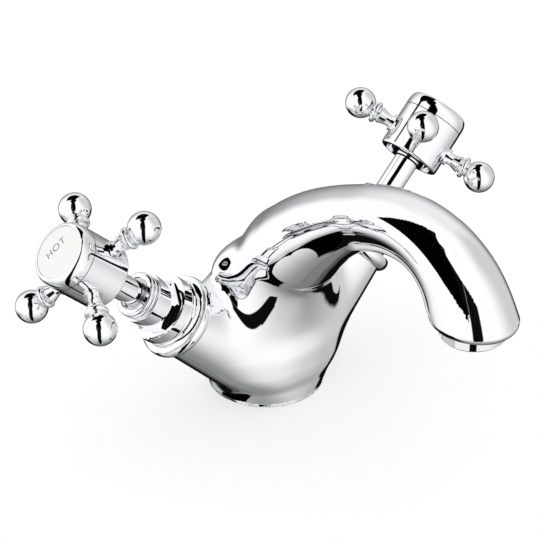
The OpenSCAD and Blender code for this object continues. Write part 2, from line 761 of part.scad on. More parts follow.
// A ball arm with its collar, neck, flare, thin ring, large bead and ball
module ball_arm() {
  roll = bead_h / 2;
  ring_t = bead_t - bead_h;
  flare_t = hub_r + stalk_len;
  color(chrome) {
    translate([0, 0, hub_r - spigot_len]) cylinder(r = stalk_r, h = ball_centre - hub_r);
    translate([0, 0, hub_r - spot_depth]) cylinder(r = root_ring_r, h = root_ring_h);
    translate([0, 0, flare_t]) cylinder(r1 = stalk_r, r2 = bead_r - roll, h = ring_t - flare_t);
    rotate_extrude() translate([bead_r - roll * 3 / 2, ring_t]) circle(roll / 2);
    translate([0, 0, ring_t]) cylinder(r = bead_r - roll * 3 / 2, h = ball_r);
    rotate_extrude() translate([bead_r - roll, bead_t]) circle(roll);
    translate([0, 0, ball_centre]) sphere(r = ball_r);
  }
}

module screw() {
  color(steel) difference() {
    union() {
      translate([0, 0, screw_seat]) cylinder(r = screw_head_r, h = screw_head_h);
      translate([0, 0, screw_seat - screw_len]) cylinder(r = screw_r, h = screw_len + eps);
    }
    translate([0, 0, screw_seat + screw_head_h / 2]) cylinder(r = screw_r, h = screw_head_h, $fn = 6);
  }
}

module cap() {
  cap_base = seam_t + seam_w;
  dome_steps = 8;
  dome = [for (k = [0 : dome_steps]) let (a = 90 * k / dome_steps)
    [index_r + cap_lip + (hub_r - index_r - cap_lip) * cos(a),
     cap_base + cap_edge_h + (cap_h - cap_edge_h) * sin(a)]];
  color(chrome) rotate_extrude() polygon(concat(
    [[0, seam_t - plug_h], [plug_r, seam_t - plug_h], [plug_r, cap_base], [hub_r, cap_base]],
    dome,
    [[index_r + fixed_fit, cap_top], [index_r + fixed_fit, cap_top - index_h], [0, cap_top - index_h]]));
}

module index() {
  dome_steps = 6;
  dome = [for (k = [0 : dome_steps]) let (u = k / dome_steps)
    [index_r * (1 - u), cap_top + index_dome / 2 - index_dome * pow(1 - u, 2)]];
  color(ceramic) rotate_extrude() polygon(concat(
    [[0, cap_top - index_h], [index_r, cap_top - index_h]], dome));
}

body();
deck_seal();
aerator_housing();
aerator_washer();
aerator_insert();
for (side = ["hot", "cold"]) on_arm(side) {
  turn = side == "hot" ? hot_turn : cold_turn;
  bell();
  valve_body();
  valve_washer();
  seat_seal();
  fixed_disc();
  turning_disc();
  spindle();
  ring_seals();
  clip();
  hub(turn);
  for (k = [0 : 3])
    on_ball_arm(turn, k) ball_arm();
  screw();
  cap();
  index();
}
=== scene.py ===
# %% [markdown]
# # A chromed two-handle basin mixer
# The real tap is a brass casting with a mirror coat of chrome. Its skin is one flowing surface,
# and everything that the eye reads on it is a reflection. So this script spends its effort on two
# things: a body without ripples, and a studio worth reflecting.
# Everything is in metres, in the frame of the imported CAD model, which is loaded first.

import json
import math

import bmesh
import bpy
import numpy as np
from mathutils import Matrix, Vector


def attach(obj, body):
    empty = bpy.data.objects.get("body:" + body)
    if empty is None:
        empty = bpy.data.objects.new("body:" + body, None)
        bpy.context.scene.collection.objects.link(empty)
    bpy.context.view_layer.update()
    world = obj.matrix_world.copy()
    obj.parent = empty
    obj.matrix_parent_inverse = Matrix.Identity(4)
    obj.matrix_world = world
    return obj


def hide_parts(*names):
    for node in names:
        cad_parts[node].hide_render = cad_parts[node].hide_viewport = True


MM = 0.001
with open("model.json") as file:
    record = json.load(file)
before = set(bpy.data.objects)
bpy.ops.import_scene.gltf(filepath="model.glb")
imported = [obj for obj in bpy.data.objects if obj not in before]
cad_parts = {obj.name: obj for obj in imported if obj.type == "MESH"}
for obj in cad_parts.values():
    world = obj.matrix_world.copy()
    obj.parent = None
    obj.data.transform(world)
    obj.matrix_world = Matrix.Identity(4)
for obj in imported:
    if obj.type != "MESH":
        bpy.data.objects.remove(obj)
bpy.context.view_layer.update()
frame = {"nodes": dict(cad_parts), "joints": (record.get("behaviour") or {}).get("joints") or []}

# %% [markdown]
# ## Camera
# A long lens from the front left, a little above, sees the hot handle's end, the front of the body
# and the whole spout. The target, the two angles, the distance and the lens say it all, and the
# camera's own place follows from them.

# %% Camera
CAMERA_TARGET = Vector((-16.5, -23.3, 66.1)) * MM
CAMERA_AZIMUTH = math.radians(-38.664)
CAMERA_ELEVATION = math.radians(30.517)
CAMERA_DISTANCE = 900 * MM
CAMERA_LENS, SENSOR_WIDTH = 159.4, 36
TOWARDS_CAMERA = Vector((math.sin(CAMERA_AZIMUTH), -math.cos(CAMERA_AZIMUTH), 0))
RIGHT_OF_CAMERA = Vector((math.cos(CAMERA_AZIMUTH), math.sin(CAMERA_AZIMUTH), 0))


def make_camera():
    """A camera on a sphere round the target, looking at it."""
    away = TOWARDS_CAMERA * math.cos(CAMERA_ELEVATION)
    away.z = math.sin(CAMERA_ELEVATION)
    camera = bpy.data.objects.new("camera", bpy.data.cameras.new("camera"))
    camera.data.lens = CAMERA_LENS
    camera.data.sensor_width = SENSOR_WIDTH
    camera.location = CAMERA_TARGET + away * CAMERA_DISTANCE
    camera.rotation_mode = "QUATERNION"
    camera.rotation_quaternion = (-away).to_track_quat("-Z", "Y")
    bpy.context.scene.collection.objects.link(camera)
    bpy.context.scene.camera = camera
    return camera


camera = make_camera()
print("camera at", [round(c, 3) for c in camera.location])

# %% [markdown]
# ## Node helpers
# Every finish below is a node tree. Three helpers keep them short: one adds a node with its values,
# one adds a maths node, and one turns a value into a soft step between two limits.


# %% Node helpers
PURE_WHITE = (1, 1, 1, 1)


def give(tree, socket, value):
    """Links a socket to an input, or writes a plain value there."""
    if isinstance(value, bpy.types.NodeSocket):
        tree.links.new(value, socket)
    else:
        socket.default_value = value


def add_node(tree, kind, **values):
    """A new node with values for its inputs, named in small letters."""
    node = tree.nodes.new(kind)
    for name, value in values.items():
        give(tree, node.inputs[name.replace("_", " ").title()], value)
    return node


def maths(tree, operation, *values, clamp=False):
    """The output of a Math node for two or three values, each a number or a socket."""
    node = tree.nodes.new("ShaderNodeMath")
    node.operation = operation
    node.use_clamp = clamp
    for socket, value in zip(node.inputs, values):
        give(tree, socket, value)
    return node.outputs[0]


def soft_step(tree, value, low, high, start=0.0, end=1.0):
    """start below low, end above high, and an even slope in between."""
    node = tree.nodes.new("ShaderNodeMapRange")
    node.interpolation_type = "SMOOTHSTEP"
    limits = {"Value": value, "From Min": low, "From Max": high, "To Min": start, "To Max": end}
    for name, given in limits.items():
        give(tree, node.inputs[name], given)
    return node.outputs["Result"]


def new_material(name):
    """An empty material and its tree, with an output node."""
    material = bpy.data.materials.new(name)
    material.use_nodes = True
    material.node_tree.nodes.clear()
    output = material.node_tree.nodes.new("ShaderNodeOutputMaterial")
    return material, material.node_tree, output


# %% [markdown]
# ## Mesh helpers
# Shapes are built with bmesh or with modifiers and end as plain meshes. These steps come back for
# the casting, the spun pieces, the words, the cards and the table.


# %% Mesh helpers
def new_object(name, mesh):
    made = bpy.data.objects.new(name, mesh)
    bpy.context.scene.collection.objects.link(made)
    return made


def mesh_from(bm, name):
    """Ends a bmesh as a new mesh."""
    mesh = bpy.data.meshes.new(name)
    bm.to_mesh(mesh)
    bm.free()
    return mesh


def applied(thing):
    """A new mesh of an object with its modifiers, or of a text."""
    seen = thing.evaluated_get(bpy.context.evaluated_depsgraph_get())
    return bpy.data.meshes.new_from_object(seen)


# %% [markdown]
# ## Finishes
# Mirror chrome is a metal that is almost without roughness. What keeps it from looking like
# a computer's mirror is small: the polish varies a little from place to place, and the coat has
# a very faint orange peel. Both come from noise on Object coordinates, so they stay on the piece
# when it turns. The other finishes are made by the same function with other numbers.


# %% Finishes
NOISE_DETAIL = 3.0
NOISE_LOW, NOISE_HIGH = 0.3, 0.7
RELIEF_DEPTH = 0.1 * MM
# two colours, two roughnesses, the grain of the noise, the strength of its relief, metal or not
FINISHES = {
    "chrome": ((0.93, 0.935, 0.945), (0.9, 0.91, 0.93), 0.02, 0.035, 60.0, 0.004, 1.0),
    "rubber": ((0.02, 0.02, 0.022), (0.035, 0.035, 0.037), 0.55, 0.75, 900.0, 0.3, 0.0),
    "acetal": ((0.78, 0.78, 0.79), (0.84, 0.84, 0.85), 0.3, 0.42, 500.0, 0.1, 0.0),
    "ceramic": ((0.72, 0.7, 0.66), (0.8, 0.78, 0.74), 0.12, 0.2, 700.0, 0.03, 0.0),
    "steel": ((0.6, 0.6, 0.62), (0.68, 0.68, 0.7), 0.2, 0.32, 800.0, 0.08, 1.0),
    "porcelain": ((0.9, 0.9, 0.895), (0.94, 0.94, 0.935), 0.08, 0.14, 300.0, 0.01, 0.0),
    "ink": ((0.03, 0.03, 0.033), (0.05, 0.05, 0.053), 0.4, 0.55, 600.0, 0.02, 0.0),
}


def make_finish(name, colour, second_colour, smooth, rough, grain, bump, metallic):
    """A Principled finish whose colour and roughness wander between two values over a noise."""
    material, tree, output = new_material(name)
    place = tree.nodes.new("ShaderNodeTexCoord").outputs["Object"]
    noise = add_node(tree, "ShaderNodeTexNoise", vector=place, scale=grain, detail=NOISE_DETAIL)
    shader = add_node(tree, "ShaderNodeBsdfPrincipled", metallic=metallic)
    mix = tree.nodes.new("ShaderNodeMix")
    mix.data_type = "RGBA"
    tree.links.new(noise.outputs["Fac"], mix.inputs["Factor"])
    mix.inputs["A"].default_value = (*colour, 1)
    mix.inputs["B"].default_value = (*second_colour, 1)
    tree.links.new(mix.outputs["Result"], shader.inputs["Base Color"])
    wander = soft_step(tree, noise.outputs["Fac"], NOISE_LOW, NOISE_HIGH, smooth, rough)
    tree.links.new(wander, shader.inputs["Roughness"])
    relief = add_node(tree, "ShaderNodeBump", height=noise.outputs["Fac"], strength=bump,
                      distance=RELIEF_DEPTH)
    tree.links.new(relief.outputs["Normal"], shader.inputs["Normal"])
    tree.links.new(shader.outputs["BSDF"], output.inputs["Surface"])
    return material


finishes = {name: make_finish(name, *values) for name, values in FINISHES.items()}
for node_object in frame["nodes"].values():
    slot_name = node_object.data.materials[0].name
    node_object.material_slots[0].material = finishes[slot_name]
print("finishes:", ", ".join(finishes))

# %% [markdown]
# ## The body's form
# The casting has two skins. The trunk is round at the foot, widens to the shoulders and closes in
# a round crown. The stem starts inside it, leans forward and runs on into the arched spout. Two
# cones grow out of the trunk towards the valves. Each skin is written as stations: where a section
# stands, how it tilts, how wide and deep it is and how full its corners are. A curve through the
# stations gives every section in between.

# %% Stations of the body, in millimetres and degrees
ARM_FRONT = 3.8
FOOT = (0, 1.5, 0, 23, 23, 2)
ANKLE = (-1.5, 6.5, 0, 23.5, 22, 2.3)
WAIST = (-ARM_FRONT, 16, 0, 27, 20.5, 2.6)
CHEST = (-ARM_FRONT, 30.5, 0, 27.5, 15, 2.35)
SHOULDER = (-1.5, 46, 0, 33.5, 12.5, 2.1)
CROWN_Z, CROWN_ROUND = 64, 10
CROWN = (1, CROWN_Z - CROWN_ROUND, 0, 24, 11.5, 2)
STEM_FOOT = (-ARM_FRONT, 13, 0, 21, 17.5, 2.1)
STEM = (-5.6, 25, 8, 23.5, 18.4, 2.2)
THROAT = (-8, 40, 22, 24.5, 17.4, 2.2)
SPOUT_ROOT = np.array((-14.2, 62.2))
SPOUT_ROOT_W, SPOUT_ROOT_D, SPOUT_SLIM_R = 21, 18.4, 12.3
SPOUT_RISE, SPOUT_RISE_PULL = math.radians(54), 41.5
SPOUT_DROP, SPOUT_DROP_PULL = math.radians(63), 46.5
SPOUT_SLIM_AT, SPOUT_WIDEN_AT, SPOUT_LEVEL_AT = 0.44, 0.6, 0.86
OUTLET_Y, OUTLET_Z, OUTLET_W, OUTLET_D, OUTLET_ROUND = -116.8, 81, 15.4, 17, 3.5
SPOUT_SPANS = 10
STEPS_A_SPAN = 24


def ease(u):
    return u * u * (3 - 2 * u)


def share(u, low, high):
    return min(1, max(0, (u - low) / (high - low)))


def spout_station(u):
    """The spout's section at share u of its way, on a curve with two handles."""
    p0, p3 = SPOUT_ROOT, np.array((OUTLET_Y, OUTLET_Z + OUTLET_ROUND))
    p1 = p0 + SPOUT_RISE_PULL * np.array((-math.cos(SPOUT_RISE), math.sin(SPOUT_RISE)))
    p2 = p3 + SPOUT_DROP_PULL * np.array((math.cos(SPOUT_DROP), math.sin(SPOUT_DROP)))
    p = (1 - u) ** 3 * p0 + 3 * (1 - u) ** 2 * u * p1 + 3 * (1 - u) * u * u * p2 + u**3 * p3
    v = (1 - u) ** 2 * (p1 - p0) + 2 * (1 - u) * u * (p2 - p1) + u * u * (p3 - p2)
    slim = ease(share(u, 0, SPOUT_SLIM_AT))
    wide = share(u, SPOUT_WIDEN_AT, 1) ** 2
    level = ease(share(u, SPOUT_LEVEL_AT, 1))
    tilt = math.degrees(math.atan2(-v[0], v[1])) * (1 - level) + 180 * level
    width, depth = (root + (SPOUT_SLIM_R - root) * slim + (end - SPOUT_SLIM_R) * wide
                    for root, end in ((SPOUT_ROOT_W, OUTLET_W), (SPOUT_ROOT_D, OUTLET_D)))
    return p[0], p[1], tilt, width, depth, 2


def fine_sections(stations):
    """Sections at an even step along the curve through all stations, one row each."""
    table = np.array(stations, float)
    last = len(table) - 1
    s = np.linspace(0, last, last * STEPS_A_SPAN + 1)
    i = np.minimum(s.astype(int), last - 1)
    u = (s - i)[:, None]
    a, b, c, d = (table[np.clip(i + k, 0, last)] for k in (-1, 0, 1, 2))
    curve = 2 * b + (c - a) * u + (2 * a - 5 * b + 4 * c - d) * u**2
    return 0.5 * (curve + (3 * b - a - 3 * c + d) * u**3)


trunk = fine_sections([FOOT, ANKLE, WAIST, CHEST, SHOULDER, CROWN])
spout_shares = np.linspace(0, 1, SPOUT_SPANS + 1)
spout = fine_sections([STEM_FOOT, STEM, THROAT] + [spout_station(u) for u in spout_shares])
print(len(trunk), "sections in the trunk,", len(spout), "in the stem and spout")

# %% [markdown]
# ## How far a point is from the skin
# A mirror shows every facet, so the body isn't left as a mesh of flat steps. Each of its points is
# moved onto an exact surface instead: the place where a distance is zero. The distance to the skin
# comes from the section that the point lies in, and the distance to an arm from its cone. A soft
# minimum joins them and leaves a fillet, as a pattern maker's wax does.

# %% Distance to the body's surface, in millimetres
ARM_LEN, ARM_START = 56, 10
ARM_ROOT_R, ARM_END_R = 16, 14
ARM_MEET = np.array(frame["joints"][0]["pos_m"]) / MM
CHUNK = 8000


def outward_axis(joint):
    """The way that a handle points, as a unit vector."""
    axis = np.array(joint["axis"])
    return axis if axis[2] > 0 else -axis


ARM_AXES = {j["name"].split("_")[0]: outward_axis(j) for j in frame["joints"]}


def loft_distance(points, sections):
    """Signed distance of each point to the skin, negative inside."""
    y, z, tilt = sections[:, 0], sections[:, 1], np.radians(sections[:, 2])
    ahead = np.stack((-np.sin(tilt), np.cos(tilt)))
    deep = np.stack((np.cos(tilt), np.sin(tilt)))
    out = np.empty(len(points))
    for start in range(0, len(points), CHUNK):
        p = points[start:start + CHUNK]
        dy, dz = p[:, 1:2] - y, p[:, 2:3] - z
        along = dy * ahead[0] + dz * ahead[1]
        depth = dy * deep[0] + dz * deep[1]
        between = (along[:, :-1] >= 0) & (along[:, 1:] < 0)
        score = np.where(between, np.abs(depth[:, :-1]) / sections[:-1, 4], np.inf)
        before = np.where(along[:, 0] < 0, np.abs(dy[:, 0]) / sections[0, 4], np.inf)
        after = np.where(along[:, -1] >= 0, np.abs(depth[:, -1]) / sections[-1, 4], np.inf)
        j = np.argmin(score, axis=1)
        rows = np.arange(len(p))
        best = score[rows, j]
        a, b = along[rows, j], along[rows, j + 1]
        t = np.where(np.isfinite(best), a / np.maximum(a - b, 1e-9), 0)
        use_before = before < best
        use_after = (after < best) & ~use_before
        j = np.where(use_before, 0, np.where(use_after, len(sections) - 2, j))
        t = np.where(use_before, 0, np.where(use_after, 1, t))[:, None]
        st = sections[j] * (1 - t) + sections[j + 1] * t
        d = depth[rows, j] * (1 - t[:, 0]) + depth[rows, j + 1] * t[:, 0]
        n = st[:, 5]
        u, v = np.abs(p[:, 0]) / st[:, 3], np.abs(d) / st[:, 4]
        rho = np.maximum((u**n + v**n) ** (1 / n), 1e-6)
        slope = rho ** (1 - n) * np.hypot(u ** (n - 1) / st[:, 3], v ** (n - 1) / st[:, 4])
        out[start:start + CHUNK] = (rho - 1) / np.maximum(slope, 1e-4)
    return out


def arm_distance(points, axis):
    """Signed distance of each point to one arm's cone, with a round start inside the body."""
    away = points - ARM_MEET
    t = away @ axis
    r = np.linalg.norm(away - np.outer(t, axis), axis=1)
    lean = (ARM_ROOT_R - ARM_END_R) / (ARM_LEN - ARM_START)
    cone = (r - ARM_ROOT_R + lean * (t - ARM_START)) / math.hypot(1, lean)
    start = np.hypot(r, t - ARM_START) - ARM_ROOT_R
    return np.where(t < ARM_START, start, cone)


def soft_min(a, b, reach):
    """The smaller of two distances, with a fillet where they are closer than reach."""
    h = np.maximum(reach - np.abs(a - b), 0) / reach
    return np.minimum(a, b) - h**3 * reach / 6


def round_cut(a, b, radius):
    """What is inside both a and b, with an edge of that radius between them."""
    u, v = np.maximum(a + radius, 0), np.maximum(b + radius, 0)
    return np.minimum(np.maximum(a, b), -radius) + np.hypot(u, v)


FILLET = 12.0
FOOT_FILLET = 2.0
FILLET_GROWS_FROM, FILLET_GROWS_OVER = 3, 22
FOOT_EDGE_R = 0.8
FAR_INSIDE = -100


def body_distance(points):
    """Signed distance of each point to the whole casting, outside of it only."""
    grown = ease(np.clip((points[:, 2] - FILLET_GROWS_FROM) / FILLET_GROWS_OVER, 0, 1))
    reach = FOOT_FILLET + (FILLET - FOOT_FILLET) * grown
    found = round_cut(loft_distance(points, trunk), points[:, 2] - CROWN_Z, CROWN_ROUND)
    for axis in ARM_AXES.values():
        found = soft_min(found, arm_distance(points, axis), reach)
    above_stem_foot = np.maximum(loft_distance(points, spout), STEM_FOOT[1] - points[:, 2])
    found = soft_min(found, above_stem_foot, reach)
    found = round_cut(found, -points[:, 2], FOOT_EDGE_R)
    below_outlet = np.where(points[:, 1] < OUTLET_Y / 2, OUTLET_Z - points[:, 2], FAR_INSIDE)
    return round_cut(found, below_outlet, OUTLET_ROUND)


print("distance inside the throat:", body_distance(np.array([[0.0, -5, 50]])).round(2))

# %% [markdown]
# ## Casting the body
# A rough stand-in comes first: circles bridged into a tube along each skin, and two cones. Voxel
# remesh melts them into one closed mesh of even squares. Its points are pulled along their normals
# onto the surface and the mesh is melted again, which clears its folds. Then it is relaxed and
# pulled in turns, so that the squares stay even, and it settles along the slope of the distance.
# Last, the normals are read from the distance itself, which is what makes the reflections run
# without a ripple.

# %% Cast the body
VOXEL = 0.85 * MM
ROUGH_SIDES = 48
ROUGH_STEP = 6
ROUGH_OVER = 2
RECASTS = 2
PULLS = 4
RELAXES = 4
SETTLES = 3
PROBE = 0.02
LONGEST_PULL = 1
LEAST_STEEPNESS = 0.25


def rough_body():
    """Overlapping closed shells that cover the body: a tube for each skin and two cones."""
    bm = bmesh.new()
    foot, outlet = trunk[0].copy(), spout[-1].copy()
    foot[1], outlet[1] = 0, OUTLET_Z
    for rows in ([foot, *trunk[::ROUGH_STEP]], [*spout[::ROUGH_STEP], outlet]):
        rings = []
        for y, z, tilt, width, depth, _ in rows:
            turn = Matrix.Rotation(math.radians(tilt), 4, "X")
            stretch = Matrix.Diagonal((width * MM, depth * MM, 1, 1))
            place = Matrix.Translation((0, y * MM, z * MM)) @ turn @ stretch
            made = bmesh.ops.create_circle(bm, segments=ROUGH_SIDES, radius=1, matrix=place)
            rings.append(made["verts"])
        for low, high in zip(rings, rings[1:]):
            edges = {e for v in low + high for e in v.link_edges if len(e.link_faces) < 2}
            ring_edges = [e for e in edges if set(e.verts) <= set(low) or set(e.verts) <= set(high)]
            bmesh.ops.bridge_loops(bm, edges=ring_edges)
        for ring in (rings[0], rings[-1]):
            bmesh.ops.contextual_create(bm, geom=[e for e in bm.edges if set(e.verts) <= set(ring)])
    for axis in ARM_AXES.values():
        middle = ARM_MEET + axis * (ARM_START + ARM_LEN + ROUGH_OVER) / 2
        turn = Vector(axis).to_track_quat("Z", "Y").to_matrix().to_4x4()
        bmesh.ops.create_cone(bm, cap_ends=True, segments=ROUGH_SIDES,
                              radius1=ARM_ROOT_R * MM, radius2=ARM_END_R * MM,
                              depth=(ARM_LEN + ROUGH_OVER - ARM_START) * MM,
                              matrix=Matrix.Translation(middle * MM) @ turn)
    bmesh.ops.recalc_face_normals(bm, faces=bm.faces)
    return mesh_from(bm, "rough")


def read_points(mesh):
    co = np.empty(len(mesh.vertices) * 3)
    mesh.vertices.foreach_get("co", co)
    return co.reshape(-1, 3) / MM


def write_points(mesh, points):
    mesh.vertices.foreach_set("co", (points * MM).ravel())
    mesh.update()


def read_normals(mesh):
    normals = np.empty(len(mesh.vertices) * 3)
    mesh.vertex_normals.foreach_get("vector", normals)
    return normals.reshape(-1, 3)


def pull_to_surface(mesh, rounds):
    """Moves each point along its normal until its distance to the body is zero."""
    for _ in range(rounds):
        points = read_points(mesh)
        step = np.clip(body_distance(points), -LONGEST_PULL, LONGEST_PULL)
        write_points(mesh, points - read_normals(mesh) * step[:, None])


def relax(mesh):
    bm = bmesh.new()
    bm.from_mesh(mesh)
    bmesh.ops.smooth_vert(bm, verts=bm.verts, factor=0.5,
                          use_axis_x=True, use_axis_y=True, use_axis_z=True)
    bm.to_mesh(mesh)
    bm.free()


def melted(mesh, voxel):
    """One closed mesh of even squares around all shells of a mesh."""
    rough = new_object("rough", mesh)
    melt = rough.modifiers.new("melt", "REMESH")
    melt.mode = "VOXEL"
    melt.voxel_size = voxel
    found = applied(rough)
    bpy.data.objects.remove(rough)
    return found


def slope_of_distance(points):
    """The distance's gradient at each point, which is also the surface's outward direction."""
    slopes = [body_distance(points + step) - body_distance(points - step)
              for step in np.eye(3) * PROBE]
    return np.stack(slopes, axis=1) / (2 * PROBE)


def settle(mesh, rounds):
    """Moves each point along the distance's own slope, which ends exactly on the surface."""
    for _ in range(rounds):
        points = read_points(mesh)
        slope = slope_of_distance(points)
        steepness = np.maximum((slope**2).sum(axis=1), LEAST_STEEPNESS)
        part = np.clip(body_distance(points), -LONGEST_PULL, LONGEST_PULL) / steepness
        write_points(mesh, points - slope * part[:, None])


def cast_body():
    mesh = melted(rough_body(), VOXEL)
    for _ in range(RECASTS):
        pull_to_surface(mesh, PULLS)
        mesh = melted(mesh, VOXEL)
    for _ in range(RELAXES):
        relax(mesh)
        pull_to_surface(mesh, 1)
    settle(mesh, SETTLES)
    return mesh


body_mesh = cast_body()
off = np.abs(body_distance(read_points(body_mesh)))
print(len(body_mesh.vertices), "points, off the surface by", off.mean().round(4), "mm on average,",
      off.max().round(3), "mm at most")

# %% Cut the body
CUTTER_SIDES = 96
WELD = 1e-7
CUT_OVER, CUT_BEYOND, CUT_BELOW, OUTLET_CUT_BELOW = 3, 10, 1, 5


def turned_mesh(name, profile, place=Matrix.Identity(4), steps=CUTTER_SIDES):
    """A solid of revolution: a closed outline of (radius, height) in millimetres, spun round Z."""
    bm = bmesh.new()
    points = [bm.verts.new((r * MM, 0, h * MM)) for r, h in profile]
    edges = [bm.edges.new(pair) for pair in zip(points, points[1:])]
    bmesh.ops.spin(bm, geom=points + edges, cent=(0, 0, 0), axis=(0, 0, 1), angle=math.tau,
                   steps=steps, use_merge=True)
    bmesh.ops.remove_doubles(bm, verts=bm.verts, dist=WELD)
    bmesh.ops.dissolve_degenerate(bm, dist=WELD, edges=bm.edges)
    bmesh.ops.recalc_face_normals(bm, faces=bm.faces)
    bmesh.ops.transform(bm, matrix=place, verts=bm.verts)
    return mesh_from(bm, name)


def on_arm(side):
    """One arm's frame: Z runs out along the arm, from the point where the arms meet."""
    x, y, z = ARM_AXES[side]
    turn = Matrix.Rotation(math.atan2(y, x), 4, "Z") @ Matrix.Rotation(math.acos(z), 4, "Y")
    return Matrix.Translation(ARM_MEET * MM) @ turn


def cut(target, cutter_mesh):
    """Takes a closed mesh away from an object's mesh."""
    cutter = new_object("cutter", cutter_mesh)
    boolean = target.modifiers.new("cut", "BOOLEAN")
    boolean.object = cutter
    boolean.operation = "DIFFERENCE"
    boolean.solver = "MANIFOLD"
    mesh = applied(target)
    target.modifiers.clear()
    target.data = mesh
    bpy.data.objects.remove(cutter)


def plain_hole(radius, low, high):
    return [(0, low), (radius, low), (radius, high), (0, high)]


POCKET_R, POCKET_DEPTH = 9.4, 20
OUTLET_BORE_R, OUTLET_BORE_H = 11.5, 7.6
SEAL_IN, SEAL_OUT, SEAL_H = 18.1, 21.5, 1.6
STUD_R, STUD_DEPTH, STUD_Y = 3.4, 12, 9.5
TAIL_R, TAIL_DEPTH, TAIL_X, TAIL_Y = 4.5, 12, 9, -3.09

body = new_object("body_casting", body_mesh)
for side in ARM_AXES:
    seat = [(0, ARM_LEN - POCKET_DEPTH), (POCKET_R, ARM_LEN - POCKET_DEPTH), (POCKET_R, ARM_LEN),
            (ARM_END_R + CUT_OVER, ARM_LEN), (ARM_END_R + CUT_OVER, ARM_LEN + CUT_BEYOND),
            (0, ARM_LEN + CUT_BEYOND)]
    cut(body, turned_mesh("seat", seat, on_arm(side)))
outlet_place = Matrix.Translation(Vector((0, OUTLET_Y, OUTLET_Z)) * MM)
outlet_bore = plain_hole(OUTLET_BORE_R, -OUTLET_CUT_BELOW, OUTLET_BORE_H)
cut(body, turned_mesh("outlet bore", outlet_bore, outlet_place))
groove = [(SEAL_IN, -CUT_BELOW), (SEAL_OUT, -CUT_BELOW), (SEAL_OUT, SEAL_H), (SEAL_IN, SEAL_H),
          (SEAL_IN, -CUT_BELOW)]
cut(body, turned_mesh("seal groove", groove))
for x, y, radius, depth in ((0, STUD_Y, STUD_R, STUD_DEPTH), (TAIL_X, TAIL_Y, TAIL_R, TAIL_DEPTH),
                            (-TAIL_X, TAIL_Y, TAIL_R, TAIL_DEPTH)):
    hole_place = Matrix.Translation(Vector((x, y, 0)) * MM)
    cut(body, turned_mesh("hole", plain_hole(radius, -CUT_BELOW, depth), hole_place))
body_mesh = body.data
body_mesh.materials.clear()
body_mesh.materials.append(finishes["chrome"])
print(len(body_mesh.polygons), "faces after the cuts")

# %% Read the body's normals from the distance
SHARP_ANGLE = math.radians(35)
AGREE_ANGLE = math.radians(12)
ON_SKIN = 0.01


def smooth_from_distance(mesh):
    """Shades the mesh smooth, with the surface's own normals at the points that lie on it."""
    mesh.shade_smooth()
    mesh.set_sharp_from_angle(angle=SHARP_ANGLE)
    points = read_points(mesh)
    gradient = slope_of_distance(points)
    gradient /= np.maximum(np.linalg.norm(gradient, axis=1), 1e-9)[:, None]
    on_skin = np.abs(body_distance(points)) < ON_SKIN
    corner_vertex = np.empty(len(mesh.loops), int)
    mesh.loops.foreach_get("vertex_index", corner_vertex)
    corner_normal = np.empty(len(mesh.loops) * 3)
    mesh.corner_normals.foreach_get("vector", corner_normal)
    corner_normal = corner_normal.reshape(-1, 3)
    exact = gradient[corner_vertex]
    agree = np.einsum("ij,ij->i", exact, corner_normal) > math.cos(AGREE_ANGLE)
    use = on_skin[corner_vertex] & agree
    corner_normal[use] = exact[use]
    mesh.normals_split_custom_set(corner_normal)
    return use.mean()


print("corners with exact normals:", round(float(smooth_from_distance(body_mesh)), 3))
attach(body, "mixer")
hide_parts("body")

# %% [markdown]
# ## Caps and index discs
# Each handle ends in a domed cap with a porcelain disc let into it. Both are spun again here from
# their own outlines, with many more steps than the solids have. The disc says HOT or COLD in thin
# dark capitals, which are laid on its slight dome.

# %% Caps and index discs
SEAM_T, SEAM_W = 119.6, 0.3
CAP_BASE = SEAM_T + SEAM_W
CAP_H, CAP_EDGE_H, CAP_LIP = 5.8, 1.6, 0.5
CAP_TOP = CAP_BASE + CAP_H
HUB_R, PLUG_R, PLUG_H = 12.7, 8, 3
INDEX_R, INDEX_H, INDEX_DOME, INDEX_GAP = 10.3, 1.4, 0.35, 0.1
DOME_STEPS = 28
FINE_SIDES = 160
LETTER_SIZE, LETTER_LIFT, LETTER_RISE = 4.35, 2.25, 0.02
LETTER_SPACING, LETTER_THINNING = 1.12, -0.045
LETTER_TURN = {"hot": math.radians(166.4), "cold": math.radians(13.6)}


def spun_piece(name, profile, side, finish_name, node):
    """A fine spun piece in an arm's frame, in place of a CAD node."""
    mesh = turned_mesh(name, profile, on_arm(side), FINE_SIDES)
    mesh.shade_smooth()
    mesh.set_sharp_from_angle(angle=SHARP_ANGLE)
    mesh.materials.append(finishes[finish_name])
    piece = new_object(name, mesh)
    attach(piece, side + "_handle")
    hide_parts(node)
    return piece


def cap_profile():
    dome_w, dome_h = HUB_R - INDEX_R - CAP_LIP, CAP_H - CAP_EDGE_H
    lip_r, edge_t = INDEX_R + CAP_LIP, CAP_BASE + CAP_EDGE_H
    quarter = np.linspace(0, math.pi / 2, DOME_STEPS)
    dome = [(lip_r + dome_w * math.cos(a), edge_t + dome_h * math.sin(a)) for a in quarter]
    plug = [(0, SEAM_T - PLUG_H), (PLUG_R, SEAM_T - PLUG_H), (PLUG_R, CAP_BASE), (HUB_R, CAP_BASE)]
    recess_r, recess_t = INDEX_R + INDEX_GAP, CAP_TOP - INDEX_H
    return plug + dome + [(recess_r, CAP_TOP), (recess_r, recess_t), (0, recess_t)]


def disc_top(r):
    """Height of the disc's dome at a distance from its middle."""
    return CAP_TOP + INDEX_DOME / 2 - INDEX_DOME * (r / INDEX_R) ** 2


def index_profile():
    radii = np.linspace(INDEX_R, 0, DOME_STEPS)
    under = CAP_TOP - INDEX_H
    return [(0, under), (INDEX_R, under)] + [(r, disc_top(r)) for r in radii]


